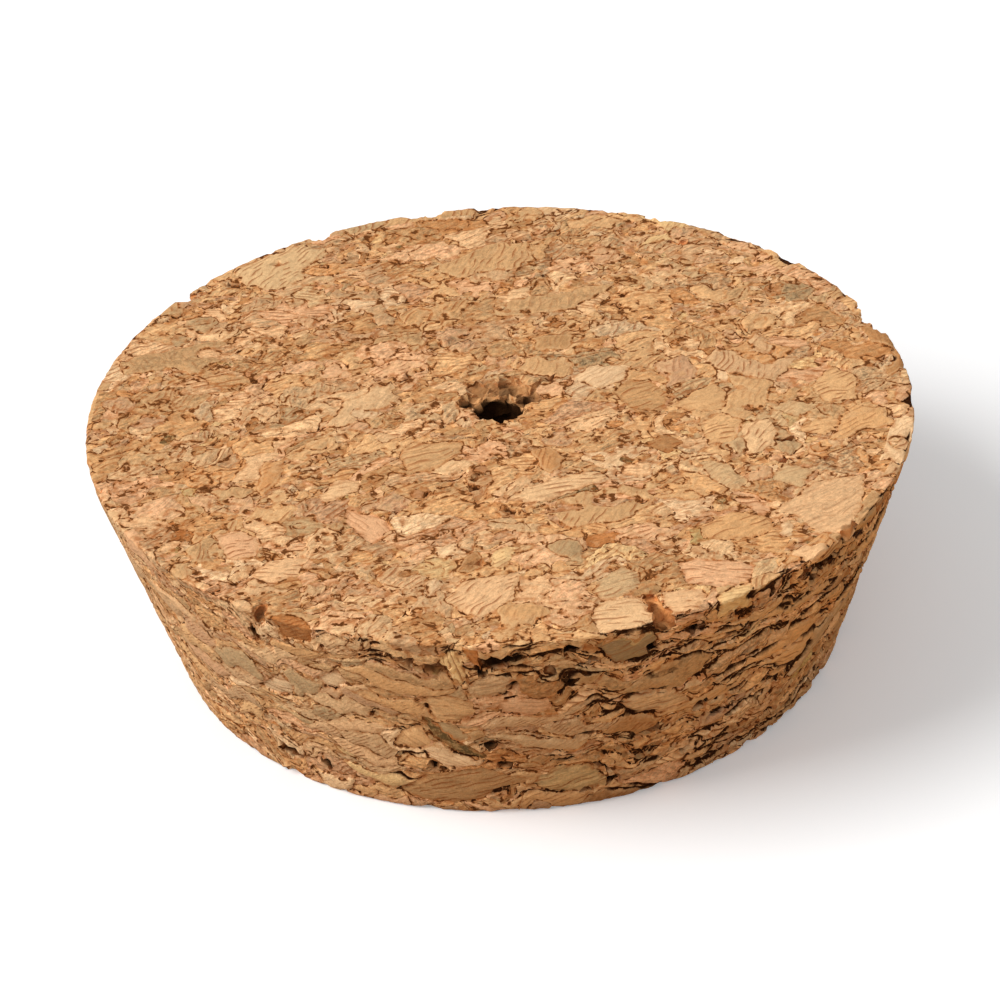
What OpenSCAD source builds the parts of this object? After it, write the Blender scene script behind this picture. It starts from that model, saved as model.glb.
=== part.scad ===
// A tapered stopper of agglomerated cork with a small hole down the middle, in millimetres.
// It stands on its small end, centred on the Z axis, with the wide face up.
// The front, where most granules have fallen out of the rim, looks along -Y.

/* [Stopper] */
// diameter of the wide top face
top_d = 101; // [92:1:130]
// diameter of the small bottom face
base_d = 82; // [70:1:88]
// thickness from face to face
height = 30.5; // [26:0.5:45]
// radius to which the two outer edges are worn
edge_wear = 0.2; // [0.1:0.1:1.2]

/* [Hole] */
// diameter of the hole down the middle
hole_d = 6.4; // [5:0.1:9]

/* [Voids] */
// size of the gaps where granules are lost, against those of a worn stopper
void_scale = 1; // [0.7:0.05:1.2]
// number of gaps scattered over the back of the side
back_voids = 20; // [4:1:40]
// number of gaps scattered over the underside
base_voids = 12; // [4:1:24]

/* [Hidden] */
cork = "#c8986a";
top_r = top_d / 2;
base_r = base_d / 2;
hole_r = hole_d / 2;
taper = atan((top_r - base_r) / height);
// how far a face of a lump turns where the lump is as wide as it is long, in degrees
ragged = 38;
// steps in each worn edge
edge_steps = 2;
$fn = 96;

// Gaps in the side: angle round the axis, height as a share of the stopper's,
// length round the side, width up the side, depth, and how far the length rises to the right.
side_voids = [
    // split under the front left of the rim
    [233, 0.87, 0.9, 3.4, 2.0, 0],
    [235.5, 0.81, 3.2, 0.7, 1.4, -38],
    [244, 0.90, 1.9, 0.6, 1.2, 30],
    // forked gap left of the middle, and the crumbled patch beside it
    [254.8, 0.91, 3.4, 0.9, 2.2, 0],
    [256.2, 0.865, 0.7, 2.6, 2.0, 0],
    [260, 0.845, 3.4, 2.4, 0.9, -20],
    // large gap at the middle of the front
    [267.8, 0.895, 3.4, 2.3, 3.2, 15],
    [266, 0.83, 2.4, 0.8, 1.6, 40],
    [270.4, 0.90, 1.9, 0.8, 2.0, -5],
    // loose granules to the right of it
    [278, 0.93, 1.7, 2.0, 2.6, 0],
    [280, 0.86, 2.6, 0.8, 1.6, 22],
    [275, 0.835, 0.8, 2.2, 1.6, 10],
    [278, 0.75, 2.4, 0.8, 1.5, 15],
    [270, 0.75, 1.5, 1.2, 1.2, 30],
    // gaps under the right of the rim
    [289, 0.855, 1.4, 2.0, 2.4, 0],
    [295.5, 0.90, 2.6, 1.2, 1.9, 50],
    [301, 0.92, 2.2, 1.0, 1.6, 10],
    [304, 0.82, 1.5, 3.4, 1.6, -25],
    [318, 0.915, 8.0, 0.9, 2.4, 2],
    [316, 0.85, 1.7, 1.5, 1.7, 20],
    [311, 0.75, 2.0, 0.8, 1.4, 25],
    // long slanting cracks on the right
    [306, 0.64, 2.6, 1.0, 1.5, 12],
    [312, 0.52, 5.5, 1.0, 1.3, 8],
    [310.5, 0.37, 7.0, 0.7, 1.7, 12],
    [299, 0.44, 2.8, 1.1, 1.3, 12],
    [302, 0.33, 2.6, 1.2, 1.4, 15],
    [291, 0.37, 8.0, 0.6, 1.4, 6],
    [280, 0.43, 4.2, 0.7, 1.3, 10],
    // pits along the foot
    [298, 0.185, 2.0, 1.5, 2.4, 10],
    [285, 0.12, 1.8, 1.4, 2.0, 0],
    [283, 0.22, 3.8, 0.7, 1.5, -45],
    [281.5, 0.085, 2.6, 0.7, 1.4, 20],
    [257, 0.27, 1.1, 1.6, 2.0, 0],
    [258.4, 0.25, 1.0, 0.9, 1.4, 0],
    [266, 0.40, 1.0, 1.0, 1.4, 30],
    [268, 0.28, 1.8, 0.9, 1.2, 0],
    [238, 0.155, 1.3, 2.0, 2.4, 0],
    [231, 0.145, 3.2, 2.4, 1.2, -20],
    [216, 0.16, 0.6, 4.0, 1.3, -10],
];

// Granules broken out of the rim: angle, length round the rim, reach inwards, reach down.
rim_chips = [
    [290.5, 2.4, 5.6, 1.5],
    [235.2, 1.7, 2.2, 1.8],
    [322, 4.0, 1.2, 1.2],
    [20, 8.0, 1.6, 3.0],
    [100, 5.5, 1.5, 2.2],
    [116, 3.0, 1.3, 1.8],
    [142, 2.6, 1.5, 2.2],
    [64, 3.4, 0.9, 1.6],
    [195, 3.0, 0.8, 1.4],
];

// Granules broken off the foot: angle, length round the edge, reach inwards, reach up.
foot_chips = [
    [269, 4.2, 0.4, 0.9],
    [229, 3.0, 0.5, 1.2],
    [313, 3.0, 0.4, 0.8],
    [75, 4.0, 0.9, 1.5],
    [160, 3.4, 0.8, 1.3],
];

// Gaps in the top face: angle, radius as a share of the face's, length, width, depth, turn from +X.
top_voids = [
    [343, 0.71, 2.0, 1.2, 1.2, 30],
    [339, 0.83, 1.4, 1.1, 1.0, 0],
    [336, 0.73, 1.3, 1.0, 1.0, 60],
    [259, 0.31, 1.9, 1.0, 0.9, 20],
    [264, 0.67, 1.8, 1.2, 0.9, 10],
    [240, 0.49, 2.6, 0.7, 0.8, 55],
    [126, 0.93, 1.8, 1.2, 0.9, 10],
    [58, 0.90, 2.2, 1.2, 0.9, -20],
];

// Granules torn from the back of the hole's mouth: place across and back, length, width, depth, turn.
mouth_tears = [
    [-3.4, 1.8, 2.6, 2.6, 1.8, 10],
    [-1.6, 4.6, 4.4, 3.6, 0.8, 25],
    [2.0, 5.0, 4.8, 4.2, 1.1, -15],
    [3.8, 2.6, 3.0, 3.2, 1.5, 20],
    [5.4, 5.6, 4.6, 1.1, 1.2, 42],
];

function side_r(z) = base_r + z * tan(taper);

function arc(centre, r, from, to) = [
    for (i = [0 : edge_steps])
        let (a = from + (to - from) * i / edge_steps)
            centre + r * [cos(a), sin(a)]
];

// Centre of the worn edge that touches the side at height z.
function wear_centre(z) = [side_r(z) - edge_wear / cos(taper), z];

// Half of the section, with both outer edges worn.
module half_section() {
    polygon(concat(
        [[0, 0]],
        arc(wear_centre(edge_wear), edge_wear, -90, -taper),
        arc(wear_centre(height - edge_wear), edge_wear, -taper, 90),
        [[0, height]]
    ));
}

// An angular lump, as a granule leaves when it falls out: what three slightly turned boxes share.
module lump(size, seed) {
    limit = ragged * min(size) / max(size);
    turn = rands(-limit, limit, 9, seed);
    intersection_for (i = [0 : 2])
        rotate([turn[3 * i], turn[3 * i + 1], turn[3 * i + 2]])
            cube(size * void_scale, center = true);
}

// Places its children on the side, with X down it, Y round it to the right and Z out of it.
module on_side(angle, share) {
    rotate(angle)
        translate([side_r(share * height), 0, share * height])
            rotate([0, 90 + taper, 0])
                children();
}

// A gap in the side, cut as deep as it says.
module side_void(v, seed) {
    on_side(v[0], v[1])
        rotate(v[5])
            lump([v[3], v[2], 2 * v[4]], seed);
}

// A gap at an edge: it reaches in and up or down from the corner at radius r and height z.
module edge_chip(c, r, z, seed) {
    rotate(c[0])
        translate([r, 0, z])
            lump([2 * c[2], c[1], 2 * c[3]], seed);
}

// A gap in a flat face, cut as deep as it says.
module face_void(x, y, z, v, seed) {
    translate([x, y, z])
        rotate(v[3])
            lump([v[0], v[1], 2 * v[2]], seed);
}

module centre_hole() {
    translate([0, 0, -1])
        cylinder(r = hole_r, h = height + 2);
}

module torn_mouth() {
    for (i = [0 : len(mouth_tears) - 1])
        let (m = mouth_tears[i])
            face_void(m[0], m[1], height, [m[2], m[3], m[4], m[5]], 500 + i);
}

module worn_edges() {
    for (i = [0 : len(rim_chips) - 1])
        edge_chip(rim_chips[i], top_r, height, 200 + i);
    for (i = [0 : len(foot_chips) - 1])
        edge_chip(foot_chips[i], base_r, 0, 300 + i);
}

module front_and_top_voids() {
    for (i = [0 : len(side_voids) - 1])
        side_void(side_voids[i], i);
    for (i = [0 : len(top_voids) - 1])
        let (v = top_voids[i], r = v[1] * top_r)
            face_void(r * cos(v[0]), r * sin(v[0]), height, [v[2], v[3], v[4], v[5]], 400 + i);
}

// Gaps spread evenly round the back of the side, each moved and sized by chance.
module back_side_voids() {
    from = -25;
    to = 205;
    for (i = [0 : back_voids - 1])
        let (
            chance = rands(0, 1, 6, 600 + i),
            angle = from + (to - from) * (i + chance[0]) / back_voids,
            share = 0.1 + 0.8 * chance[1],
            length = 1.2 + 4.5 * chance[2] * chance[2],
            width = 0.7 + 0.9 * chance[3],
            depth = 1.2 + chance[4],
            rise = 40 * (chance[5] - 0.5)
        )
            side_void([angle, share, length, width, depth, rise], 700 + i);
}

// Gaps spread over the underside between the hole and the edge.
module underside_voids() {
    golden = 137.5;
    inner = hole_r + 5;
    outer = base_r - 5;
    for (i = [0 : base_voids - 1])
        let (
            chance = rands(0, 1, 4, 800 + i),
            r = inner + (outer - inner) * sqrt((i + 0.5) / base_voids),
            angle = golden * i,
            size = [1.2 + 1.8 * chance[0], 0.8 + chance[1], 0.8 + 0.6 * chance[2], 180 * chance[3]]
        )
            face_void(r * cos(angle), r * sin(angle), 0, size, 900 + i);
}

module stopper() {
    color(cork)
        difference() {
            rotate_extrude()
                half_section();
            centre_hole();
            torn_mouth();
            worn_edges();
            front_and_top_voids();
            back_side_voids();
            underside_voids();
        }
}

stopper();
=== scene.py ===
"""Dresses the tapered cork stopper: pressed granules in relief over the turned solid,
in plain studio light."""
import math

import bpy
import numpy as np
from mathutils import Matrix, Vector


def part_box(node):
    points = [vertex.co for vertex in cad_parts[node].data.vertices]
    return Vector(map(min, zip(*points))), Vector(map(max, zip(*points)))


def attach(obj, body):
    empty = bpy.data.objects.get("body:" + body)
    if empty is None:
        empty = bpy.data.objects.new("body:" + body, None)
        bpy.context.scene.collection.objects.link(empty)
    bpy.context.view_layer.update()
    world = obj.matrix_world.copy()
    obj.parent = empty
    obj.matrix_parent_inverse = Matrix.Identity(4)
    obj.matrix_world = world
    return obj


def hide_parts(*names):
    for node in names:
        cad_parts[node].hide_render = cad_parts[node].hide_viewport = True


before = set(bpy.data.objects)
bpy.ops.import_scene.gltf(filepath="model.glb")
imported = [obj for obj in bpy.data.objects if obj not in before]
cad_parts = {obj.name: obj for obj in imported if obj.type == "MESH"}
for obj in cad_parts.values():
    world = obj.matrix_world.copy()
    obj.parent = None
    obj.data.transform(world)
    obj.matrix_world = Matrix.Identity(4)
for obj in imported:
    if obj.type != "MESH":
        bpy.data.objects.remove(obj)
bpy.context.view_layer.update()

MM = 0.001

# The sound stopper, in millimetres
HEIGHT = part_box("stopper")[1].z / MM
TOP_RADIUS = 50.5
FOOT_RADIUS = 41.0
SIDE_SLOPE = (TOP_RADIUS - FOOT_RADIUS) / HEIGHT
HOLE_RADIUS = 3.2

# Mesh of the dressed stopper
GRID = 0.24 * MM
MOST_TRIANGLES = 190000
CRISP = math.radians(40.0)

# Sheet for the baked colour, in millimetres: its width, the middles of the two round patches,
# and the lower left corners of the two halves of the side and of the hole
SHEET = 190.0
TOP_PATCH = (52.5, 52.5)
FOOT_PATCH = (147.0, 44.0)
FRONT_PATCH = (2.5, 107.0)
BACK_PATCH = (2.5, 142.0)
HOLE_PATCH = (152.0, 107.0)

# Camera, fitted to the outline and the front rim
CAMERA_DISTANCE = 0.55
CAMERA_RISE = math.radians(32.9)
CAMERA_ROLL = math.radians(-2.96)
CAMERA_AIM = Vector((-0.47 * MM, 0.0, 17.24 * MM))
CAMERA_LENS = 160.4
SENSOR_WIDTH = 36.0


class Graph:
    """Adds the same noise, cell and arithmetic nodes to a geometry tree or a shader tree."""

    def __init__(self, tree):
        self.tree = tree

    def feed(self, socket, value):
        if isinstance(value, bpy.types.NodeSocket):
            self.tree.links.new(value, socket)
        else:
            socket.default_value = value

    def node(self, kind, inputs=None, **settings):
        made = self.tree.nodes.new(kind)
        for name, value in settings.items():
            setattr(made, name, value)
        for key, value in (inputs or {}).items():
            self.feed(made.inputs[key], value)
        return made

    def math(self, operation, a, b=0.0, c=0.0):
        made = self.node("ShaderNodeMath", {0: a, 1: b, 2: c}, operation=operation)
        return made.outputs[0]

    def add(self, a, b):
        return self.math("ADD", a, b)

    def subtract(self, a, b):
        return self.math("SUBTRACT", a, b)

    def times(self, a, b):
        return self.math("MULTIPLY", a, b)

    def smaller(self, a, b):
        return self.math("MINIMUM", a, b)

    def larger(self, a, b):
        return self.math("MAXIMUM", a, b)

    def vector(self, operation, a, b=(0.0, 0.0, 0.0)):
        return self.node("ShaderNodeVectorMath", {0: a, 1: b}, operation=operation).outputs[0]

    def scaled(self, a, factor):
        return self.node("ShaderNodeVectorMath", {0: a, "Scale": factor}, operation="SCALE").outputs[0]

    def dot(self, a, b):
        return self.node("ShaderNodeVectorMath", {0: a, 1: b}, operation="DOT_PRODUCT").outputs[1]

    def length(self, a):
        return self.node("ShaderNodeVectorMath", {0: a}, operation="LENGTH").outputs[1]

    def unturned(self, a, yaw, pitch=0.0):
        """A place seen from a frame whose X axis points along the yaw and dips by the pitch."""
        turn = self.node("ShaderNodeCombineXYZ", {1: pitch, 2: yaw}).outputs[0]
        inputs = {"Vector": a, "Rotation": turn}
        return self.node("ShaderNodeVectorRotate", inputs, rotation_type="EULER_XYZ", invert=True).outputs[0]

    def parts(self, a):
        return self.node("ShaderNodeSeparateXYZ", {0: a}).outputs

    def named(self, name, kind):
        made = self.node("GeometryNodeInputNamedAttribute", data_type=kind)
        made.inputs["Name"].default_value = name
        return made.outputs["Attribute"]

    def rise(self, value, start, end, low=0.0, high=1.0):
        """A smooth step from low to high as the value goes from start to end."""
        inputs = {"Value": value, "From Min": start, "From Max": end, "To Min": low, "To Max": high}
        return self.node("ShaderNodeMapRange", inputs, interpolation_type="SMOOTHSTEP").outputs[0]

    def fall(self, value, start, end, high=1.0, low=0.0):
        """A smooth step from high down to low as the value goes from start to end."""
        return self.rise(value, start, end, high, low)

    def mix(self, factor, a, b):
        return self.node("ShaderNodeMix", {0: factor, 2: a, 3: b}, data_type="FLOAT").outputs[0]

    def mix_vector(self, factor, a, b):
        return self.node("ShaderNodeMix", {0: factor, 4: a, 5: b}, data_type="VECTOR").outputs[1]

    def mix_colour(self, factor, a, b):
        return self.node("ShaderNodeMix", {0: factor, 6: a, 7: b}, data_type="RGBA").outputs[2]

    def noise(self, place, size, detail=2.0, rough=0.5):
        """Noise with features of about the given size; the outputs are its value and its three values."""
        inputs = {"Vector": place, "Scale": 1.0 / size, "Detail": detail, "Roughness": rough}
        outputs = self.node("ShaderNodeTexNoise", inputs).outputs
        return outputs[0], outputs[1]

    def cells(self, place, size, shape):
        """Cells stretched to a shape: a chance vector for each, the true distance to its edge, and
        how level that edge lies, from 0 for an upright one to 1."""
        pressed = self.vector("DIVIDE", place, shape)
        inputs = {"Vector": pressed, "Scale": 1.0 / size}
        cell = self.node("ShaderNodeTexVoronoi", inputs, feature="F1").outputs
        next_cell = self.node("ShaderNodeTexVoronoi", inputs, feature="F2").outputs
        across = self.vector("SUBTRACT", cell["Position"], next_cell["Position"])
        middle = self.scaled(self.vector("ADD", cell["Position"], next_cell["Position"]), 0.5)
        ahead = self.dot(self.vector("SUBTRACT", pressed, middle), across)
        normal = self.vector("DIVIDE", across, shape)
        steep = self.length(normal)
        level = self.math("DIVIDE", self.math("ABSOLUTE", self.parts(normal)[2]), steep)
        return cell["Color"], self.math("DIVIDE", ahead, steep), level


# Tints of the granules, each with its share of them
TINTS = [
    ("tan", 0.224, (0.69, 0.388, 0.172)),
    ("rose", 0.16, (0.72, 0.390, 0.198)),
    ("warm", 0.15, (0.66, 0.352, 0.147)),
    ("peach", 0.15, (0.74, 0.432, 0.214)),
    ("sand", 0.11, (0.75, 0.455, 0.227)),
    ("stone", 0.035, (0.65, 0.408, 0.200)),
    ("cream", 0.065, (0.80, 0.512, 0.275)),
    ("russet", 0.06, (0.61, 0.290, 0.110)),
    ("straw", 0.015, (0.75, 0.475, 0.213)),
    ("olive", 0.004, (0.51, 0.345, 0.135)),
    ("grey", 0.008, (0.46, 0.288, 0.138)),
    ("orange", 0.010, (0.54, 0.210, 0.066)),
    ("knot", 0.005, (0.27, 0.105, 0.036)),
    ("bark", 0.004, (0.13, 0.080, 0.030)),
]

# Flecks in the granules
PALE_FLECK = (0.86, 0.57, 0.30, 1.0)
RED_FLECK = (0.56, 0.21, 0.070, 1.0)
GREEN_FLECK = (0.46, 0.30, 0.110, 1.0)
DARK_GRANULE_FLECK = (0.56, 0.320, 0.130, 1.0)
KNOT_CRUMB = (0.34, 0.140, 0.050, 1.0)
# growth lines, in most granules and in dark ones
GROWTH_LINE = (0.34, 0.095, 0.022, 1.0)
DARK_GROWTH_LINE = (0.08, 0.030, 0.009, 1.0)
# edges of granules, with painted shade and painted highlights, and the seams between them, whose dark cores
# are partly painted shade
PAINTED_EDGE_SHADE = (0.46, 0.145, 0.034, 1.0)
PAINTED_EDGE_HIGHLIGHT = (0.86, 0.56, 0.28, 1.0)
SEAM = (0.42, 0.145, 0.038, 1.0)
TOP_SEAM_SHADE = (0.12, 0.036, 0.008, 1.0)
SIDE_SEAM_SHADE = (0.085, 0.024, 0.005, 1.0)
# painted shade in the open gaps, and the crumbs in them
TOP_GAP_SHADE = (0.06, 0.017, 0.004, 1.0)
SIDE_GAP_SHADE = (0.025, 0.007, 0.002, 1.0)
GAP_CRUMB = (0.42, 0.140, 0.036, 1.0)
# where granules have broken out: in the top, in the rim, and lower down in painted shade; and painted shade
# out of the light
FRESH = (0.58, 0.275, 0.105, 1.0)
FRESH_IN_THE_RIM = (0.80, 0.320, 0.100, 1.0)
FRESH_IN_PAINTED_SHADE = (0.22, 0.070, 0.020, 1.0)
OUT_OF_THE_LIGHT = (0.02, 0.007, 0.002, 1.0)


def tint_start(name):
    """Where a tint starts on a scale of chance from 0 to 1."""
    names = [tint[0] for tint in TINTS]
    return sum(share for _, share, _ in TINTS[:names.index(name)])


def tint_middle(name):
    """A chance in the middle of a tint's share."""
    return tint_start(name) + dict((tint, share) for tint, share, _ in TINTS)[name] / 2


# Granules that stand out: outline, yaw and dip of the growth lines in degrees, and tint.
# A greater yaw also lifts the granule, and a greater dip makes it brighter.

# seen on the top, by X and Y in millimetres
TOP_GRANULES = [
    ([(31, -26), (35, -22.5), (37, -20), (43, -18.5), (42, -24.5), (40, -31), (36, -31), (34, -27)],
     40, 5, "peach"),
    ([(9.5, -40.5), (10.5, -38), (13, -36), (15, -37), (15, -40), (13, -42), (10.5, -42.5)],
     20, 0, "stone"),
    ([(-2, -32.5), (-1, -30.5), (1, -30.5), (0.5, -34), (-0.5, -35.5), (-2, -34.5)], 60, 10, "straw"),
    ([(-9.5, -37.5), (-8.5, -36), (-7.5, -37), (-8, -39), (-9, -41)], 70, 0, "cream"),
    ([(-4.5, -15.5), (-4, -13.5), (-2, -12.5), (-1, -15.5), (-2, -18.5), (-3.5, -20)], 50, 20, "knot"),
    ([(-1, -23), (0, -21.5), (1.5, -23), (1, -24.5), (0, -25)], 20, 20, "knot"),
    ([(-6, -35), (-4.5, -31.5), (-3.5, -31), (-2.5, -33.5), (-3, -35), (-5, -35.5)], 45, -17, "russet"),
    ([(9, -45), (10.5, -42.5), (15, -42), (15.5, -44.5), (16.5, -47), (14.5, -48.5), (10, -49)],
     10, 12, "sand"),
    ([(17.5, -41.5), (22, -41), (22.5, -43), (21.5, -45), (18.5, -46), (17.5, -44)], 15, 12, "peach"),
    ([(19.5, -35.5), (22, -35), (27, -36), (28.5, -37), (27.5, -40.5), (24, -41), (20.5, -40)],
     5, 12, "rose"),
    ([(23.5, -43), (26, -41), (27.5, -40.5), (28, -43), (27, -44), (24, -45)], 10, 5, "straw"),
    ([(22.5, -28.5), (26.5, -25.5), (31, -27), (31.5, -29.5), (27, -31.5), (23, -31)], 35, 10, "warm"),
    ([(32, -29.5), (32.5, -27.5), (33.5, -29), (33, -31.5), (32, -31.5)], 40, 5, "cream"),
    ([(21, -33), (22, -31.5), (23, -32.5), (23, -34), (21.5, -34)], 30, 5, "sand"),
    ([(-27.5, -42.5), (-25.5, -42), (-23.5, -43), (-22.5, -45), (-24, -46), (-26, -45)],
     0, -17, "orange"),
    ([(4.5, -31), (6, -29.5), (8.5, -30), (9, -32), (8.5, -34.5), (6, -33)], 60, 5, "grey"),
    ([(-11, -18), (-10, -16.5), (-8.5, -17), (-9, -19.5), (-10, -19.5)], 30, 25, "knot"),
    ([(3.5, -10), (5.5, -9), (7, -10.5), (7.5, -12.5), (6, -15.5), (4.5, -14)], 80, 0, "russet"),
    ([(-22, -18), (-20.5, -15), (-19, -14), (-17, -15), (-17, -17), (-19.5, -18), (-21, -19.5)],
     30, 15, "sand"),
    ([(-19, -20), (-17, -21.5), (-14, -23), (-13.5, -25.5), (-15.5, -28.5), (-18.5, -24)],
     -40, 15, "rose"),
    ([(34.5, 25.5), (35.5, 27), (36.5, 26), (36, 24), (34.5, 24)], 30, 20, "knot"),
    ([(-12.5, -9.5), (-11, -7), (-4.5, -7), (-5, -10), (-8, -13), (-11, -13.5)], 25, 0, "tan"),
    ([(0.5, -20.5), (3, -17.5), (11.5, -14.5), (12.5, -16.5), (9, -19), (4, -21.5)], 25, 12, "sand"),
    ([(14, -13), (14.5, -12), (16, -13), (15, -14)], 30, 10, "bark"),
    ([(9, 6), (11.5, 9), (16.5, 8.5), (15.5, 5), (12.5, 3.5)], 50, 5, "cream"),
    ([(14, 2.5), (15.5, 5), (18.5, 5), (21, 1), (19.5, -2.5), (16, -1.5)], 20, -5, "warm"),
    ([(21, -1.5), (23.5, 2), (26.5, 4), (28, 1), (27, -3), (24.5, -3)], 30, 5, "tan"),
    ([(29, -6.5), (32.5, -5.5), (33.5, -8.5), (32.5, -12), (29.5, -13.5)], 70, 12, "sand"),
    ([(24, -6), (26.5, -3.5), (29.5, -5.5), (28, -10), (25, -11)], 40, 12, "tan"),
    ([(17, -10), (20, -7.5), (22, -9.5), (20, -12)], 10, -17, "russet"),
    ([(23.5, -14.5), (26.5, -14.5), (29, -19), (27.5, -21), (25, -19)], 40, 5, "stone"),
    ([(31.5, -19), (33.5, -15.5), (37, -17.5), (35, -21)], 30, 5, "stone"),
    ([(32.5, -3), (35.5, -1.5), (39, -3), (36, -5.5)], 40, 5, "stone"),
    ([(35.5, -8.5), (38, -6), (41.5, -6.5), (39, -10)], 25, 12, "tan"),
    ([(38, 1.5), (41, 6), (44, 3.5), (43.5, -2), (39.5, -2.5)], 45, 12, "tan"),
    ([(26.5, -22.5), (29.5, -22.5), (31.5, -25.5), (30, -26.5)], -5, 12, "rose"),
    ([(-29.5, -15.5), (-28.5, -9.5), (-26, -9), (-26.5, -13.5), (-28.5, -17)], 65, 12, "russet"),
    ([(-30, -33.5), (-27.5, -30.5), (-23, -30.5), (-24, -34), (-27.5, -36)], 20, 12, "peach"),
    ([(-34, -25), (-31, -24), (-28.5, -26.5), (-29, -30), (-32.5, -30.5)], 45, 12, "rose"),
    ([(-7.5, -41), (-5, -37), (1.5, -36), (0.5, -41.5), (-3.5, -45)], 55, 12, "peach"),
]
# seen on the side, by angle in degrees and height in millimetres
SIDE_GRANULES = [
    ([(256.5, 17.5), (258, 17), (261, 13.5), (265.5, 10.5), (265, 9.5), (261.5, 10.5), (257.5, 14)],
     -10, 45, "bark"),
    ([(258, 16.5), (260.5, 16.5), (263.5, 14), (261.5, 13), (259.5, 14)], -10, 40, "grey"),
    ([(255.5, 11.5), (258.5, 13), (260.5, 10.5), (265, 9.5), (264.5, 8.5), (259.5, 8), (256.5, 9.5)],
     -10, 20, "cream"),
    ([(252, 13), (256, 16), (257, 13.5), (258.5, 12), (255.5, 11), (251.5, 11.5)], -10, 30, "tan"),
    ([(263, 22.5), (266, 25), (269.5, 25), (270, 23), (269, 21.5), (265, 21)], 0, -8, "sand"),
    ([(267.5, 19.5), (269.5, 21), (274.5, 20.5), (275.5, 19), (273, 17.5), (268.5, 18)], 0, 5, "rose"),
    ([(257, 20.5), (260.5, 21.5), (264, 20.5), (264.5, 18.5), (262, 16.5), (258.5, 17)], 0, 10, "tan"),
    ([(280.5, 29), (284.5, 29.5), (289, 29), (290, 26.5), (287.5, 24.5), (283.5, 25)], 10, -14, "grey"),
    ([(250.5, 3), (256, 6.5), (264, 8), (272, 6), (267, 4), (262, 1.5), (253.5, 1.5)], -5, -17, "warm"),
    ([(260, 27.5), (262, 29.5), (263, 29), (264, 25), (263, 23), (261, 25)], -10, 70, "olive"),
    ([(230, 16), (234.5, 19.5), (237, 18.5), (235.5, 16), (232, 15.5)], -35, 0, "cream"),
    ([(242, 21.5), (245.5, 24), (246.5, 21.5), (244.5, 20), (242.5, 20)], -25, 10, "cream"),
    ([(272, 5), (275.5, 7.5), (281, 7.5), (285, 3.5), (280.5, 2.5), (275, 3)], 5, -17, "straw"),
    ([(285, 17.5), (288, 19), (293.5, 17.5), (297, 14.5), (292, 14), (287.5, 15)], 20, -5, "sand"),
    ([(263.5, 30), (265, 30), (266, 27.5), (266, 25.5), (264.5, 27.5)], -10, 60, "orange"),
]
# how far a marked granule reaches into the block, and the length of one degree round the side
MARK_DEPTH = 3.0
DEGREE = math.radians(1.0) * (TOP_RADIUS + FOOT_RADIUS) / 2

# Granules of the pressed block, with lengths in millimetres

# the three sizes of them
SLAB = 7.0
GRANULE = 4.4
CRUMB = 1.3
# share of slabs, and of granules, that are broken into smaller ones, and of crumbs that are lost
BROKEN_SLABS = 0.92
BROKEN_BY_THE_SIDE = 0.55
TORN_UNDER_THE_RIM = 0.9
BROKEN_GRANULES = 0.18
CRUMBLED_BY_THE_SIDE = 0.14
CRUMBLED_IN_HOLLOWS = 0.8
LOST_CRUMBS = 0.12
LOST_IN_KNOTS = 0.35
# widest open gap on the top and on the side, and widest seam
WIDEST_ON_TOP = 0.18
WIDEST_ON_SIDE = 0.60
WIDEST_SEAM = 0.16
# brightness of the dullest and the brightest granules, and painted light that brightens the side against the
# top
DULLEST = 0.78
BRIGHTEST = 1.26
SIDE_PAINTED_LIGHT = 1.08
# how much longer than wide a granule lies, how flat it was pressed, and the way it lies
LONG = 1.6
FLAT = 0.36
CRUMB_FLAT = 0.6
LIE = math.radians(34.0)
CROSS_LIE = math.radians(10.0)
# how far the growth lines of one granule may turn and dip from that way
STRAY = math.radians(40.0)
DIP = math.radians(25.0)
# growth lines in a millimetre, by axis of the granule, and how far folds shift them
LINES = (0.0, 1.2, 1.8)
FOLDS = 1.3
# sizes of the noise that bends granules, tears their edges, mottles them and thickens their seams
BENDS = 8.0
TEARS = 1.3
MOTTLES = 0.6
SEAM_PIECES = 1.0
# how far bends and tears move the granules
BEND_REACH = (5.0, 5.0, 10.0)
TEAR_REACH = 0.4
MARK_TEAR_REACH = 0.9
# the middle of every noise, and a distance beyond any edge
MIDDLE = 0.5
BEYOND = 9.0
# the thinnest edge or gap that is worked out
THIN = 0.001

# Bands of depth or height in which one kind of surface turns into another, in millimetres

# below the side, from the side's surface to that of the ends
SIDE_BAND = (0.5, 3.0)
# towards the front, by Y, and down from the top, where granules under the rim are torn
FRONT_BAND = (-42.0, -30.0)
RIM_BAND = (HEIGHT - 6.0, HEIGHT - 4.0)
# below every sound surface, where a granule has broken out
HOLLOW_BAND = (0.2, 0.6)
# below the ends, where painted shade darkens broken faces
LOWER_DOWN = (0.8, 2.4)
# inwards from the side, where broken faces of the rim turn into those of the top
RIM_REACH = (5.0, 9.0)
# below the side, where light no longer reaches
DARK_BAND = (0.4, 1.1)
# inwards from the side, where the mouth of the hole begins
MOUTH_BAND = (38.0, 42.0)

# Relief, in millimetres

# how unevenly granules stand, how far their edges sink and their middles rise, and over what width
UNEVEN = 0.26
EDGE_SINKS = -0.07
MIDDLE_RISES = 0.05
ROUNDED = 0.6
# depth of streaks, growth lines and the valleys about open gaps
STREAK_DEPTH = 0.14
LINE_DEPTH = 0.08
VALLEY_DEPTH = 0.36
# share of the granules' relief that the pressed top keeps, and of the fine relief on side and top
TOP_LIFT = 0.75
SIDE_FINE = 0.9
TOP_FINE = 0.15
# upward part of a surface's direction between side and top
FACING_UP = (0.6, 0.9)
# how ragged worn edges and broken faces are, and how often the broken area is smoothed
WORN_RAGGED = 0.35
BROKEN_RAGGED = 2.0
SMOOTHINGS = 8
# depth of the fibres that only the shading shows
FIBRE_DEPTH = 0.35


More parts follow.
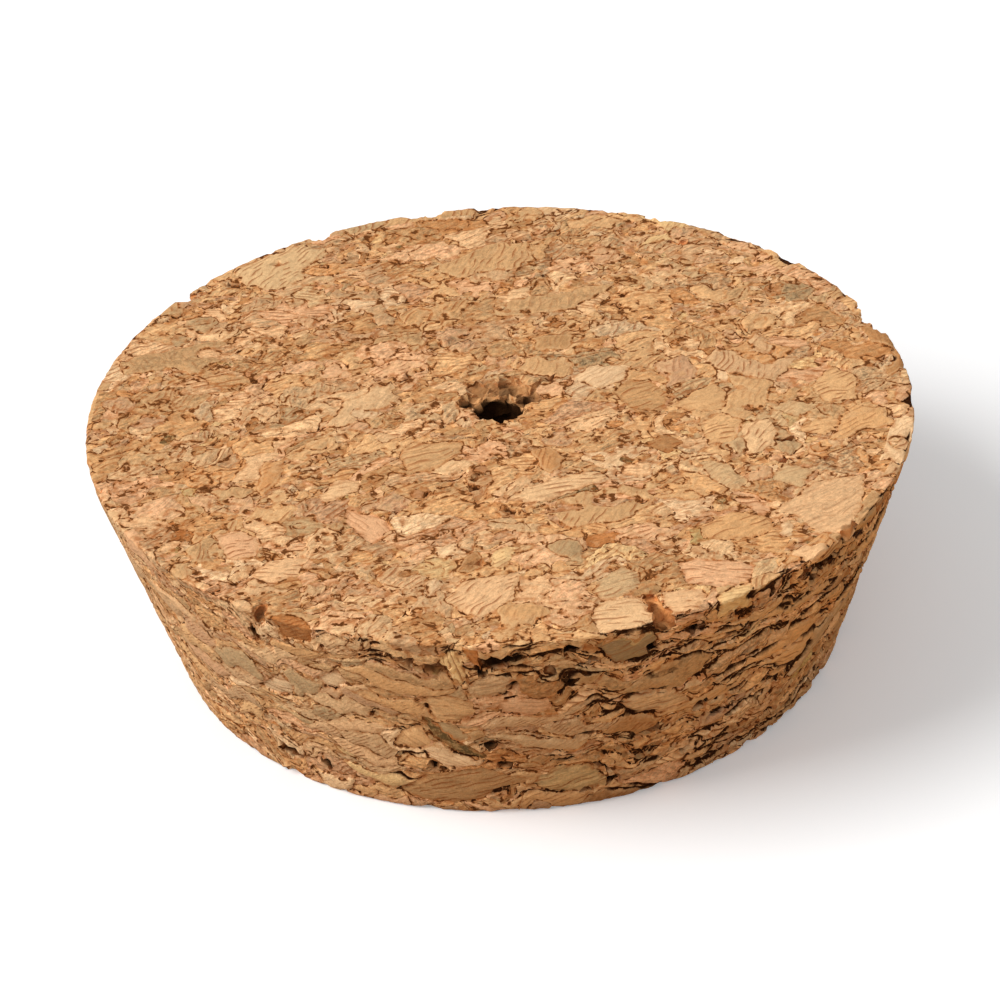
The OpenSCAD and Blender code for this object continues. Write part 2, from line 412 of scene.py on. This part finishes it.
def inside_outline(points, outline):
    """How far each point lies inside a closed outline; negative outside it."""
    corners = np.array(outline, dtype=float)
    nearest = np.full(len(points), np.inf)
    inside = np.zeros(len(points), dtype=bool)
    for a, b in zip(corners, np.roll(corners, -1, axis=0)):
        along = b - a
        away = points - a
        share = np.clip(away @ along / (along @ along), 0.0, 1.0)
        nearest = np.minimum(nearest, np.linalg.norm(away - share[:, None] * along, axis=1))
        spans = (a[1] > points[:, 1]) != (b[1] > points[:, 1])
        rise = along[1] if along[1] else 1.0
        inside ^= spans & (points[:, 0] < a[0] + (points[:, 1] - a[1]) * along[0] / rise)
    return np.where(inside, nearest, -nearest)


def marked_granules(places):
    """How far each place lies inside the nearest marked granule, and that granule's chance vector."""
    x, y, z = places.T
    around = np.degrees(np.arctan2(y, x)) % 360.0
    side_depth = FOOT_RADIUS + SIDE_SLOPE * z - np.hypot(x, y)
    groups = [
        (np.stack([x, y], axis=1), 1.0, HEIGHT - z, TOP_GRANULES),
        (np.stack([around * DEGREE, z], axis=1), DEGREE, side_depth, SIDE_GRANULES),
    ]
    best = np.full(len(places), -BEYOND)
    look = np.zeros((len(places), 3))
    for plan, unit, depth, marks in groups:
        for outline, yaw, dip, tint in marks:
            outline = [(u * unit, v) for u, v in outline]
            far = np.minimum(inside_outline(plan, outline), MARK_DEPTH - depth)
            nearer = far > best
            best[nearer] = far[nearer]
            turn = (math.radians(yaw) - LIE + STRAY) / (2 * STRAY)
            fall = (math.radians(dip) + DIP) / (2 * DIP)
            look[nearer] = turn, fall, tint_middle(tint)
    return best, look


def surroundings(g, place):
    """Where a place lies in the sound stopper: its depths below the side and the nearer end,
    and what is near."""
    x, y, z = g.parts(place)
    flat = g.node("ShaderNodeCombineXYZ", {0: x, 1: y}).outputs[0]
    side = g.math("MULTIPLY_ADD", z, SIDE_SLOPE, FOOT_RADIUS)
    side_depth = g.times(g.subtract(side, g.length(flat)), math.cos(math.atan(SIDE_SLOPE)))
    end_depth = g.smaller(z, g.subtract(HEIGHT, z))
    near_side = g.fall(side_depth, *SIDE_BAND)
    front = g.fall(y, *FRONT_BAND)
    under_rim = g.times(near_side, g.times(front, g.rise(z, *RIM_BAND)))
    return {
        "place": place,
        "side_depth": side_depth,
        "end_depth": end_depth,
        "near_side": near_side,
        "under_rim": under_rim,
        "hollow": g.rise(g.smaller(side_depth, end_depth), *HOLLOW_BAND),
    }


def granules(g, site, marked, marked_look):
    """Granules at a place: the chance vector of each, the distance to its edge, and how it is broken.

    Of the chance vector, X turns the growth lines and lifts the granule, Y dips the lines and
    brightens it, and Z picks the tint."""
    place = site["place"]
    near_side = site["near_side"]

    # Bent and torn places, and the cells of three sizes there
    middle = (MIDDLE, MIDDLE, MIDDLE)
    bend = g.vector("SUBTRACT", g.noise(place, BENDS)[1], middle)
    tear = g.vector("SUBTRACT", g.noise(place, TEARS, 1.0)[1], middle)
    mottle = g.parts(g.noise(place, MOTTLES, 3.0, 0.75)[1])
    bend = g.vector("MULTIPLY", bend, BEND_REACH)
    bent = g.vector("ADD", g.vector("ADD", place, bend), g.scaled(tear, TEAR_REACH))
    along = g.unturned(bent, LIE)
    across = g.unturned(bent, CROSS_LIE)
    slab, slab_edge, slab_level = g.cells(along, SLAB, (LONG, 1.0, FLAT))
    granule, granule_edge, granule_level = g.cells(across, GRANULE, (LONG, 1.0, FLAT))
    crumb, crumb_edge, crumb_level = g.cells(along, CRUMB, (LONG, 1.0, CRUMB_FLAT))
    slab_level = g.rise(slab_level, 0.3, 0.8)
    granule_level = g.rise(granule_level, 0.4, 0.85, 0.0, 0.55)
    crumb_level = g.rise(crumb_level, 0.4, 0.85, 0.0, 0.3)

    # Marked granules; a knot is crushed into crumbs
    own_edge = g.add(marked, g.times(g.parts(tear)[0], MARK_TEAR_REACH))
    own = g.math("GREATER_THAN", own_edge, 0.0)
    own_tint = g.parts(marked_look)[2]
    knotty = g.math("COMPARE", own_tint, tint_middle("knot"), 0.002)
    knotty = g.times(own, knotty)

    # Slabs broken into granules, and granules crushed into crumbs
    torn = g.larger(site["hollow"], g.times(site["under_rim"], TORN_UNDER_THE_RIM))
    broken = g.larger(g.mix(near_side, BROKEN_SLABS, BROKEN_BY_THE_SIDE), torn)
    broken = g.math("LESS_THAN", g.parts(slab)[0], broken)
    broken = g.times(broken, g.subtract(1.0, own))
    crumbled = g.mix(near_side, BROKEN_GRANULES, CRUMBLED_BY_THE_SIDE)
    crumbled = g.larger(crumbled, g.times(site["hollow"], CRUMBLED_IN_HOLLOWS))
    crushed = g.times(broken, g.math("LESS_THAN", g.parts(granule)[0], crumbled))
    crushed = g.larger(crushed, knotty)
    chance = g.mix_vector(crushed, g.mix_vector(broken, slab, granule), crumb)
    chance = g.mix_vector(g.subtract(own, knotty), chance, marked_look)
    lost = g.math("LESS_THAN", g.parts(crumb)[1], g.mix(knotty, LOST_CRUMBS, LOST_IN_KNOTS))

    # The nearest edge, and how level it lies
    slab_edge = g.mix(own, slab_edge, BEYOND)
    granule_edge = g.mix(broken, BEYOND, granule_edge)
    crumb_edge = g.mix(crushed, BEYOND, crumb_edge)
    parting = g.mix(g.math("LESS_THAN", granule_edge, slab_edge), slab_level, granule_level)
    edge = g.smaller(slab_edge, granule_edge)
    parting = g.mix(g.math("LESS_THAN", crumb_edge, edge), parting, crumb_level)
    edge = g.smaller(g.smaller(edge, crumb_edge), g.math("ABSOLUTE", own_edge))
    frayed = g.math("MULTIPLY_ADD", g.subtract(mottle[0], MIDDLE), 0.5, edge)
    return {
        "chance": chance,
        "edge": g.larger(frayed, 2 * THIN),
        "parting": parting,
        "calm": g.vector("ADD", place, g.scaled(bend, 0.3)),
        "tear": tear,
        "mottle": mottle,
        "knotty": knotty,
        "large": g.subtract(1.0, broken),
        "whole": g.subtract(1.0, crushed),
        "lost": g.times(crushed, lost),
    }


def drawn_out(g, place, length):
    """The place at which noise comes out longer along X and a little flatter."""
    return g.vector("DIVIDE", place, (length, 1.0, 0.8))


def layers(g, cells):
    """Growth lines inside a granule: 1 on a line and 0 between, and a finer streak along them."""
    chance = g.parts(cells["chance"])
    yaw = g.math("MULTIPLY_ADD", chance[0], 2 * STRAY, LIE - STRAY)
    dip = g.math("MULTIPLY_ADD", chance[1], 2 * DIP, -DIP)
    flow = g.vector("ADD", g.unturned(cells["calm"], yaw, dip), g.scaled(cells["chance"], 60.0))
    folds = g.noise(drawn_out(g, flow, 3.0), 3.5, 1.0)[0]
    phase = g.add(g.dot(flow, LINES), g.times(folds, FOLDS))
    line = g.rise(g.math("FRACT", phase), 0.45, 0.95)
    dash = g.noise(drawn_out(g, flow, 3.5), 1.2, 2.0)[0]
    lined = g.rise(g.math("PINGPONG", g.times(chance[1], 7.0), 1.0), 0.3, 0.6, 0.4, 1.0)
    line = g.times(g.times(line, g.times(cells["whole"], lined)), g.rise(dash, 0.45, 0.57))
    streak = g.noise(drawn_out(g, flow, 6.0), 0.6, 3.0, 0.75)[0]
    return line, streak


def voids(g, site, cells):
    """Open gaps: 1 in a lost crumb or in a parted seam, which opens like a wedge;
    and the valley about each."""
    lain = g.vector("DIVIDE", g.unturned(site["place"], LIE), (3.0, 1.6, 0.9))
    luck = g.parts(g.noise(lain, 2.2, 2.0)[1])

    # The side has most cracks at the right, away from the key light, and in its upper half, and fewer at the
    # back; the extra dark cracks at the right are partly painted shade
    x, y, z = g.parts(site["place"])
    cracked_and_shaded = g.times(g.rise(x, -38.0, 45.0, 0.15, 1.7), g.rise(z, 2.0, 22.0, 0.8, 1.0))
    cracked_and_shaded = g.times(cracked_and_shaded, g.fall(y, -25.0, 5.0, 1.0, 0.55))
    near_side = g.times(g.fall(site["side_depth"], 0.3, 1.5), cracked_and_shaded)

    # Parted seams, on the side mainly those that lie level
    open_seam = g.add(luck[1], g.rise(near_side, 0.0, 1.6, -0.02, 0.185))
    # a few more dark gaps under the front rim, partly painted shadow under its edge
    open_seam = g.add(open_seam, g.times(site["under_rim"], 0.01))
    wide = g.rise(open_seam, 0.60, 0.76, 0.0, g.mix(near_side, WIDEST_ON_TOP, WIDEST_ON_SIDE))
    lies = g.mix(site["near_side"], cells["whole"], cells["parting"])
    wide = g.larger(g.times(wide, lies), THIN)
    slit = g.fall(g.math("DIVIDE", cells["edge"], wide), 0.3, 1.1)

    # Lost crumbs, in knots and in patches
    lost = g.times(cells["lost"], g.rise(cells["edge"], 0.02, 0.15))
    missing = g.math("GREATER_THAN", luck[2], g.mix(site["near_side"], 0.65, 0.58))
    lost = g.times(lost, g.larger(cells["knotty"], missing))
    valley = g.times(g.fall(cells["edge"], 0.0, 0.8), g.rise(open_seam, 0.56, 0.70))
    return g.larger(slit, lost), g.larger(valley, lost)


def granule_relief():
    """A geometry tree that lifts or sinks each point by the granule it lies in."""
    tree = bpy.data.node_groups.new("granule_relief", "GeometryNodeTree")
    tree.interface.new_socket("Geometry", in_out="INPUT", socket_type="NodeSocketGeometry")
    tree.interface.new_socket("Geometry", in_out="OUTPUT", socket_type="NodeSocketGeometry")
    g = Graph(tree)
    start = g.node("NodeGroupInput").outputs[0]
    position = g.node("GeometryNodeInputPosition").outputs[0]
    normal = g.node("GeometryNodeInputNormal").outputs[0]
    site = surroundings(g, g.scaled(position, 1.0 / MM))
    cells = granules(g, site, g.named("marked", "FLOAT"), g.named("marked_look", "FLOAT_VECTOR"))
    line, streak = layers(g, cells)
    valley = voids(g, site, cells)[1]
    up = g.parts(normal)[2]

    # Granules, which keep out of the sharp corners, with their streaks and lines and the valleys between
    from_corner = g.add(site["side_depth"], site["end_depth"])
    bulge = g.rise(cells["edge"], 0.0, ROUNDED, EDGE_SINKS, MIDDLE_RISES)
    lift = g.math("MULTIPLY_ADD", g.subtract(g.parts(cells["chance"])[0], MIDDLE), UNEVEN, bulge)
    lift = g.times(g.times(lift, g.rise(from_corner, 0.3, 1.6)), g.fall(up, *FACING_UP, 1.0, TOP_LIFT))
    fine = g.math("MULTIPLY_ADD", g.subtract(streak, MIDDLE), STREAK_DEPTH, g.times(line, -LINE_DEPTH))
    lift = g.add(lift, g.times(fine, g.fall(up, *FACING_UP, SIDE_FINE, TOP_FINE)))
    lift = g.subtract(lift, g.times(valley, VALLEY_DEPTH))

    # Ragged corners and broken faces
    worn = g.fall(from_corner, 0.6, 2.0, WORN_RAGGED, 0.0)
    inside = g.rise(g.smaller(site["side_depth"], site["end_depth"]), 0.1, 0.4)
    smoothing = {"Value": inside, "Iterations": SMOOTHINGS}
    torn = g.node("GeometryNodeBlurAttribute", smoothing, data_type="FLOAT").outputs[0]
    torn = g.rise(torn, 0.02, 0.3, 0.0, BROKEN_RAGGED)
    ragged = g.scaled(cells["tear"], g.larger(worn, torn))

    # No point goes below the floor
    offset = g.scaled(g.vector("ADD", g.scaled(normal, lift), ragged), MM)
    above_floor = g.vector("MAXIMUM", g.vector("ADD", position, offset), (-1.0, -1.0, 0.0))
    moved = g.node("GeometryNodeSetPosition", {"Geometry": start, "Position": above_floor})
    g.node("NodeGroupOutput", {0: moved.outputs[0]})
    return tree


def keep_attribute(mesh, name, kind, values):
    """Keeps one number or vector for each point of the mesh."""
    field = "vector" if kind == "FLOAT_VECTOR" else "value"
    mesh.attributes.new(name, kind, "POINT").data.foreach_set(field, values.ravel().astype(np.float32))


def applied(piece):
    """Puts the piece's modifiers into its mesh."""
    ready = piece.evaluated_get(bpy.context.evaluated_depsgraph_get())
    mesh = bpy.data.meshes.new_from_object(ready)
    piece.modifiers.clear()
    piece.data = mesh


def lay_flat(mesh):
    """Lays the skin out on one sheet for the baked colour: the two ends, the side in two halves,
    and the hole."""
    rest = np.empty(len(mesh.vertices) * 3, dtype=np.float32)
    mesh.attributes["rest"].data.foreach_get("vector", rest)
    corner = np.empty(len(mesh.loops), dtype=np.int32)
    mesh.loops.foreach_get("vertex_index", corner)
    first = np.empty(len(mesh.polygons), dtype=np.int32)
    mesh.polygons.foreach_get("loop_start", first)
    count = np.diff(np.append(first, len(corner)))
    place = rest.reshape(-1, 3)[corner] / MM
    middle = np.add.reduceat(place, first, axis=0) / count[:, None]
    reach = np.hypot(middle[:, 0], middle[:, 1])
    depths = [
        HEIGHT - middle[:, 2],
        middle[:, 2],
        FOOT_RADIUS + SIDE_SLOPE * middle[:, 2] - reach,
        reach - HOLE_RADIUS,
    ]
    skin = np.repeat(np.argmin(depths, axis=0), count)
    around = np.repeat(np.degrees(np.arctan2(middle[:, 1], middle[:, 0])) % 360.0, count)
    back = around < 180.0
    turn = np.degrees(np.arctan2(place[:, 1], place[:, 0])) - around
    around = around + (turn + 180.0) % 360.0 - 180.0
    x, y, z = place.T
    across = np.choose(skin, [
        TOP_PATCH[0] + x,
        FOOT_PATCH[0] + x,
        np.where(back, BACK_PATCH[0], FRONT_PATCH[0]) + (around - np.where(back, 0.0, 180.0)) * DEGREE,
        HOLE_PATCH[0] + np.radians(around) * HOLE_RADIUS,
    ])
    up = np.choose(skin, [
        TOP_PATCH[1] + y,
        FOOT_PATCH[1] + y,
        np.where(back, BACK_PATCH[1], FRONT_PATCH[1]) + z,
        HOLE_PATCH[1] + z,
    ])
    sheet = np.stack([across, up], axis=1) / SHEET
    mesh.uv_layers.new(name="OFBake").data.foreach_set("uv", sheet.ravel().astype(np.float32))


def cork_body():
    """The turned solid with its granules in relief."""
    piece = bpy.data.objects.new("cork_body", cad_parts["stopper"].data.copy())
    bpy.context.scene.collection.objects.link(piece)
    even = piece.modifiers.new("even_grid", "REMESH")
    even.mode = "VOXEL"
    even.voxel_size = GRID
    applied(piece)
    places = np.empty(len(piece.data.vertices) * 3, dtype=np.float32)
    piece.data.vertices.foreach_get("co", places)
    marked, look = marked_granules(places.reshape(-1, 3) / MM)
    keep_attribute(piece.data, "rest", "FLOAT_VECTOR", places)
    keep_attribute(piece.data, "marked", "FLOAT", marked)
    keep_attribute(piece.data, "marked_look", "FLOAT_VECTOR", look)
    piece.modifiers.new("relief", "NODES").node_group = granule_relief()
    applied(piece)
    thin = piece.modifiers.new("thin_out", "DECIMATE")
    triangles = sum(len(p.vertices) - 2 for p in piece.data.polygons)
    thin.ratio = min(1.0, MOST_TRIANGLES / triangles)
    thin.use_collapse_triangulate = True
    applied(piece)
    piece.data.shade_smooth()
    piece.data.set_sharp_from_angle(angle=CRISP)
    lay_flat(piece.data)
    return piece


def granule_tints(g, chance):
    """The tint of each granule, picked by its chance."""
    tints = g.node("ShaderNodeValToRGB", {0: chance})
    tints.color_ramp.interpolation = "CONSTANT"
    stops = tints.color_ramp.elements
    while len(stops) < len(TINTS):
        stops.new(0.5)
    for stop, (name, _, tint) in zip(stops, TINTS):
        stop.position = tint_start(name)
        stop.color = (*tint, 1.0)
    return tints.outputs[0]


def granule_colour(g, site, cells):
    """The colour inside the granules: tint, brightness, streaks, flecks and growth lines."""
    line, streak = layers(g, cells)
    chance = g.parts(cells["chance"])
    mottle = cells["mottle"]
    dark = g.math("GREATER_THAN", chance[2], tint_start("knot"))

    # Some granules are busier than others, and large ones are calm
    busy = g.rise(g.math("PINGPONG", g.times(chance[0], 9.0), 1.0), 0.2, 0.8, 0.6, 1.0)
    busy = g.times(busy, g.mix(cells["large"], 1.0, 0.45))
    value = g.add(g.rise(streak, 0.32, 0.68, -0.38, 0.38), g.rise(mottle[0], 0.3, 0.7, -0.28, 0.28))
    value = g.math("MULTIPLY_ADD", value, busy, g.rise(chance[1], 0.0, 1.0, DULLEST, BRIGHTEST))
    tint = g.mix_colour(g.times(cells["knotty"], 0.7), granule_tints(g, chance[2]), KNOT_CRUMB)
    # painted light: the side is painted brighter than the top
    colour = g.scaled(tint, g.times(value, g.mix(site["near_side"], 1.0, SIDE_PAINTED_LIGHT)))

    pale = g.times(g.rise(mottle[1], 0.52, 0.65), g.mix(dark, 0.4, 0.0))
    colour = g.mix_colour(g.times(pale, busy), colour, PALE_FLECK)
    red = g.rise(mottle[1], 0.46, 0.34, 0.0, 0.5)
    colour = g.mix_colour(g.times(red, busy), colour, RED_FLECK)
    green = g.rise(mottle[2], 0.56, 0.70, 0.0, 0.2)
    colour = g.mix_colour(g.times(green, busy), colour, GREEN_FLECK)
    speck = g.rise(g.larger(streak, mottle[0]), 0.53, 0.60, 0.0, 0.75)
    colour = g.mix_colour(g.times(speck, dark), colour, DARK_GRANULE_FLECK)
    ink = g.mix_colour(dark, GROWTH_LINE, DARK_GROWTH_LINE)
    return g.mix_colour(g.times(line, 0.8), colour, ink)


def with_seams(g, site, cells, colour):
    """Adds painted shade and painted highlights at the edges of granules, and the seams between them, whose
    dark cores are partly painted shade.
    """
    edge = cells["edge"]
    thick = g.parts(g.noise(site["place"], SEAM_PIECES, 2.0)[1])
    # painted shade: a soft warm darkening along the edges of granules, standing in for the shade of their
    # relief
    shade = g.times(g.fall(edge, 0.0, 0.7), g.rise(thick[1], 0.38, 0.64, 0.05, 0.65))
    colour = g.mix_colour(shade, colour, PAINTED_EDGE_SHADE)
    # painted highlight: a pale band just inside the edges of the raised granules, standing in for light on
    # those edges
    lit = g.times(g.rise(edge, 0.10, 0.22), g.fall(edge, 0.25, 0.55))
    lit = g.times(lit, g.rise(g.parts(cells["chance"])[0], 0.4, 0.7, 0.0, 0.35))
    colour = g.mix_colour(lit, colour, PAINTED_EDGE_HIGHLIGHT)
    seam_width = g.rise(thick[0], 0.47, 0.63, THIN, WIDEST_SEAM)
    seam_width = g.times(seam_width, g.mix(cells["whole"], 0.5, 1.0))
    seam = g.math("DIVIDE", edge, seam_width)
    colour = g.mix_colour(g.fall(seam, 0.6, 1.4, 0.75, 0.0), colour, SEAM)
    # the dark core of each seam: a dark joint with painted shade in it, darker on the side
    seam_shade = g.mix_colour(site["near_side"], TOP_SEAM_SHADE, SIDE_SEAM_SHADE)
    return g.mix_colour(g.fall(seam, 0.25, 0.75, 0.9, 0.0), colour, seam_shade)


def with_gaps(g, site, cells, colour):
    """Adds painted shade in the open gaps with crumbs in them, the fresh broken faces with painted shade
    lower down, and painted shade deep inside.
    """
    gap = voids(g, site, cells)[0]
    bits = g.times(g.rise(cells["mottle"][2], 0.48, 0.60), g.mix(site["near_side"], 0.6, 0.12))
    gap_shade = g.mix_colour(bits, g.mix_colour(site["near_side"], TOP_GAP_SHADE, SIDE_GAP_SHADE), GAP_CRUMB)
    # painted shade: the open gaps are painted near black, darker on the side
    colour = g.mix_colour(gap, colour, gap_shade)

    lower_down = g.rise(site["end_depth"], *LOWER_DOWN)
    fresh = g.mix_colour(g.fall(site["side_depth"], *RIM_REACH), FRESH, FRESH_IN_THE_RIM)
    # painted shade: broken faces darken as they lie deeper below the ends
    fresh = g.mix_colour(lower_down, fresh, FRESH_IN_PAINTED_SHADE)
    colour = g.mix_colour(g.times(site["hollow"], g.mix(lower_down, 0.75, 0.65)), colour, fresh)

    # painted shade: near black deep below the side and down the hole
    crumbly = g.times(g.parts(cells["tear"])[1], 1.2)
    deep = g.rise(g.add(site["side_depth"], crumbly), *DARK_BAND)
    mouth = g.rise(site["side_depth"], *MOUTH_BAND)
    sunk = g.rise(g.add(site["end_depth"], crumbly), g.mix(mouth, 0.7, 0.5), g.mix(mouth, 2.2, 1.6))
    return g.mix_colour(g.times(g.smaller(deep, sunk), 0.97), colour, OUT_OF_THE_LIGHT)


def cork_material():
    """Matt cork, coloured by the same fields as the relief."""
    material = bpy.data.materials.new("pressed_cork")
    material.use_nodes = True
    g = Graph(material.node_tree)
    shader = material.node_tree.nodes["Principled BSDF"]
    rest = g.node("ShaderNodeAttribute", attribute_name="rest").outputs["Vector"]
    marked = g.node("ShaderNodeAttribute", attribute_name="marked").outputs["Fac"]
    marked_look = g.node("ShaderNodeAttribute", attribute_name="marked_look").outputs["Vector"]
    place = g.scaled(rest, 1.0 / MM)
    site = surroundings(g, place)
    cells = granules(g, site, marked, marked_look)
    colour = granule_colour(g, site, cells)
    colour = with_seams(g, site, cells, colour)
    colour = with_gaps(g, site, cells, colour)
    g.feed(shader.inputs["Base Color"], colour)
    shader.inputs["Roughness"].default_value = 0.85
    shader.inputs["Specular IOR Level"].default_value = 0.03
    fibre = drawn_out(g, g.unturned(place, LIE), 2.5)
    grain = g.math("ABSOLUTE", g.subtract(g.noise(fibre, 0.5, 3.0, 0.65)[0], MIDDLE))
    bump = g.node("ShaderNodeBump", {"Strength": 1.0, "Distance": FIBRE_DEPTH * MM, "Height": grain})
    g.feed(shader.inputs["Normal"], bump.outputs[0])
    return material


# The studio, in metres and watts
WHITE = (1.0, 1.0, 1.0, 1.0)
FLOOR_HALF = 3.0
# just below the foot, so that the two don't share a plane
FLOOR_DROP = 0.05 * MM
FLOOR_WHITE = (0.92, 0.92, 0.92, 1.0)
FLOOR_GLOW = 0.2
# light that the floor throws back left and right of the stopper, and where the one turns into the other
LEFT_BOUNCE = (0.35, 0.35, 0.35, 1.0)
RIGHT_BOUNCE = (0.54, 0.30, 0.08, 1.0)
BOUNCE_TURN = (-0.06, 0.06)
SKY_LIGHT = 0.42


def area_light(name, place, size, power):
    """A square lamp that looks at the origin."""
    lamp = bpy.data.lights.new(name, "AREA")
    lamp.size = size
    lamp.energy = power
    light = bpy.data.objects.new(name, lamp)
    light.location = place
    light.rotation_euler = (-Vector(place)).to_track_quat("-Z", "Y").to_euler()
    bpy.context.scene.collection.objects.link(light)


def seen_ray(g):
    """1 for what the camera sees, straight or in gloss or glass."""
    path = g.node("ShaderNodeLightPath").outputs
    return g.larger(path["Is Camera Ray"], g.larger(path["Is Glossy Ray"], path["Is Transmission Ray"]))


def floor_material():
    """White where it is seen, with the shadow on it; greyer and warmer in the light it throws back."""
    material = bpy.data.materials.new("white_floor")
    material.use_nodes = True
    g = Graph(material.node_tree)
    nodes = material.node_tree.nodes
    nodes.remove(nodes["Principled BSDF"])
    seen = g.node("ShaderNodeBsdfDiffuse", {"Color": FLOOR_WHITE}).outputs[0]
    glow = g.node("ShaderNodeEmission", {"Color": WHITE, "Strength": FLOOR_GLOW}).outputs[0]
    seen = g.node("ShaderNodeAddShader", {0: seen, 1: glow}).outputs[0]
    x = g.parts(g.node("ShaderNodeNewGeometry").outputs["Position"])[0]
    warmth = g.mix_colour(g.rise(x, *BOUNCE_TURN), LEFT_BOUNCE, RIGHT_BOUNCE)
    bounced = g.node("ShaderNodeBsdfDiffuse", {"Color": warmth}).outputs[0]
    mixed = g.node("ShaderNodeMixShader", {0: seen_ray(g), 1: bounced, 2: seen}).outputs[0]
    g.feed(nodes["Material Output"].inputs["Surface"], mixed)
    return material


def studio():
    """The floor, the white world and the two lamps."""
    mesh = bpy.data.meshes.new("floor")
    half = FLOOR_HALF
    corners = [(-half, -half, 0), (half, -half, 0), (half, half, 0), (-half, half, 0)]
    mesh.from_pydata(corners, [], [(0, 1, 2, 3)])
    mesh.materials.append(floor_material())
    floor = bpy.data.objects.new("floor", mesh)
    floor.location.z = -FLOOR_DROP
    bpy.context.scene.collection.objects.link(floor)
    world = bpy.data.worlds.new("studio")
    world.use_nodes = True
    g = Graph(world.node_tree)
    nodes = world.node_tree.nodes
    lighting = nodes["Background"]
    lighting.inputs["Color"].default_value = WHITE
    lighting.inputs["Strength"].default_value = SKY_LIGHT
    backdrop = g.node("ShaderNodeBackground", {"Color": WHITE, "Strength": 1.0}).outputs[0]
    mixed = g.node("ShaderNodeMixShader", {0: seen_ray(g), 1: lighting.outputs[0], 2: backdrop}).outputs[0]
    g.feed(nodes["World Output"].inputs["Surface"], mixed)
    bpy.context.scene.world = world
    area_light("key", place=(-2.8, -0.6, 2.6), size=2.4, power=141.0)
    area_light("fill", place=(-0.1, -1.0, 0.5), size=0.6, power=1.4)


def camera():
    """The camera that was fitted to the photograph."""
    lens = bpy.data.cameras.new("camera")
    lens.lens = CAMERA_LENS
    lens.sensor_width = SENSOR_WIDTH
    view = bpy.data.objects.new("camera", lens)
    bpy.context.scene.collection.objects.link(view)
    back = Vector((0.0, -math.cos(CAMERA_RISE), math.sin(CAMERA_RISE)))
    tilt = Matrix.Rotation(math.pi / 2 - CAMERA_RISE, 4, "X")
    place = Matrix.Translation(CAMERA_AIM + back * CAMERA_DISTANCE)
    view.matrix_world = place @ tilt @ Matrix.Rotation(CAMERA_ROLL, 4, "Z")
    bpy.context.scene.camera = view


body = cork_body()
body.data.materials.clear()
body.data.materials.append(cork_material())
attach(body, "root")
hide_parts("stopper")
studio()
camera()
bpy.context.scene.view_settings.view_transform = "Standard"
